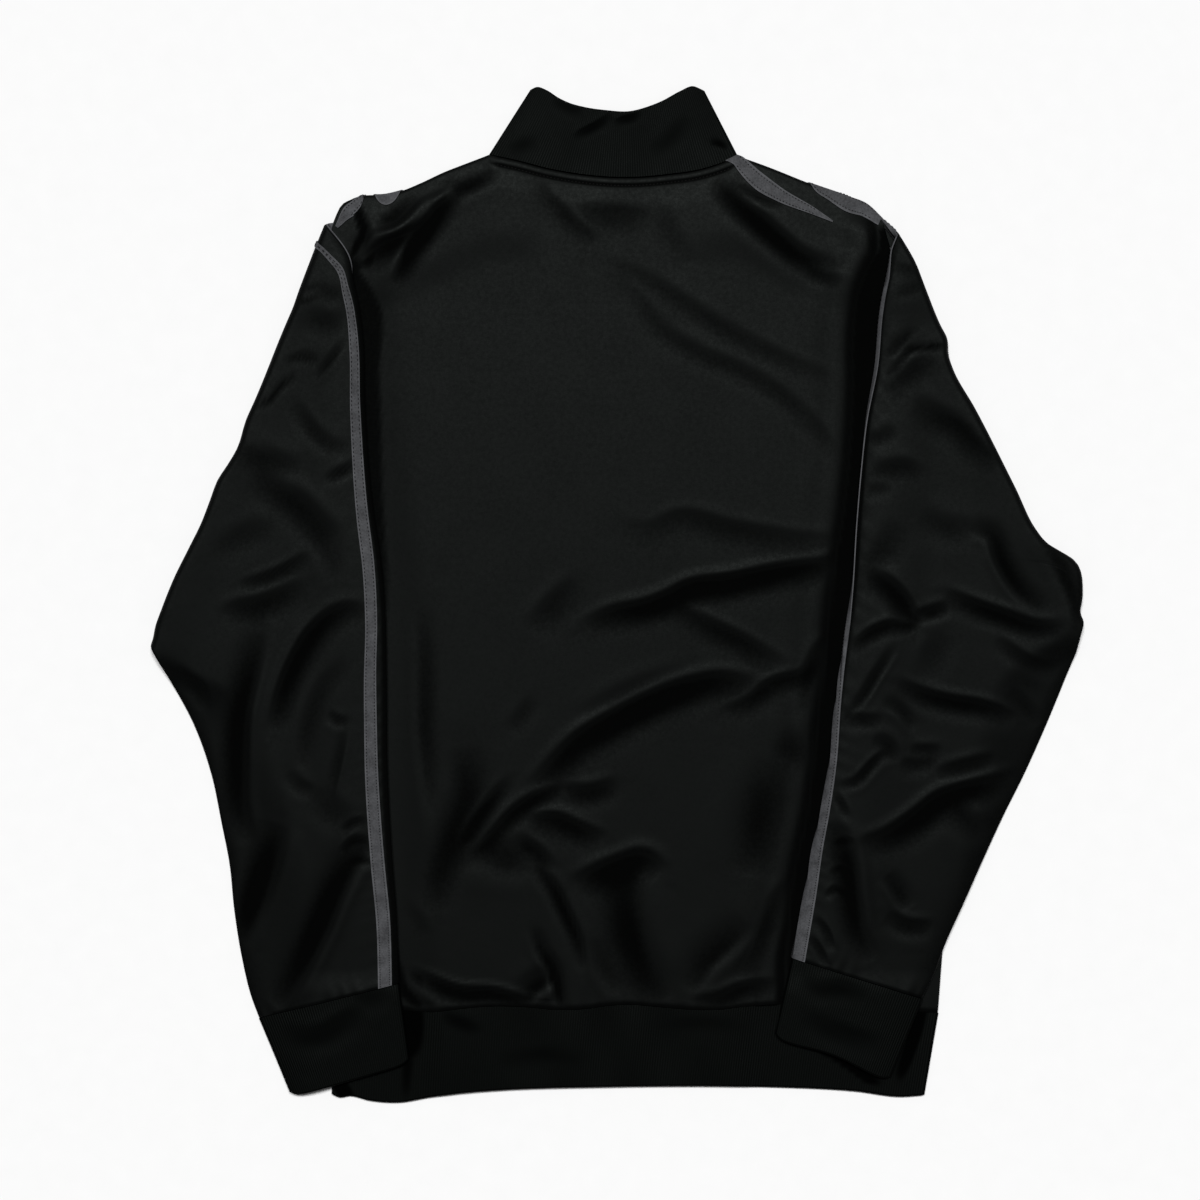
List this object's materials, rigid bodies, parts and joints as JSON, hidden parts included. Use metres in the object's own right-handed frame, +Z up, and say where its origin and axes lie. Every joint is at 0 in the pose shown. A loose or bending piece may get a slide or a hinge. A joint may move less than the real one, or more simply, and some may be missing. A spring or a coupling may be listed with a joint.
{
  "type": "track jacket",
  "caption": "Knitted track jacket laid flat on its front, back up, sleeves folded in over the back, with rib collar, cuffs and hem band, shoulder-to-cuff tapes and a full front zip.",
  "frame": {"origin": "centre of the laid-out jacket's box, on the surface it lies on", "axes": "+X towards the wearer's right side, +Y from hem to collar, +Z up off the surface, through the back"},
  "size_m": [0.714, 0.772, 0.0135],
  "materials": {
    "cloth": "satin warp-knit polyester, black",
    "rib": "rib-knit polyester, black, matt",
    "tape": "flat woven tape, grey",
    "zip_cloth": "woven zip tape, black",
    "zip_metal": "dark lacquered metal and moulded teeth"
  },
  "bodies": {
    "root": {"back": "cloth", "front_left": "cloth", "front_right": "cloth", "sleeve_left": "cloth", "sleeve_right": "cloth", "cuff_left": "rib", "cuff_right": "rib", "hem_band": "rib", "collar": "rib", "tape_shoulder_back_left": "tape", "tape_shoulder_back_right": "tape", "tape_shoulder_front_left": "tape", "tape_shoulder_front_right": "tape", "tape_sleeve_back_left": "tape", "tape_sleeve_back_right": "tape", "tape_sleeve_front_left": "tape", "tape_sleeve_front_right": "tape", "zip_tape_left": "zip_cloth", "zip_tape_right": "zip_cloth", "zip_chain": "zip_metal", "zip_slider": "zip_metal"}
  },
  "joints": []
}
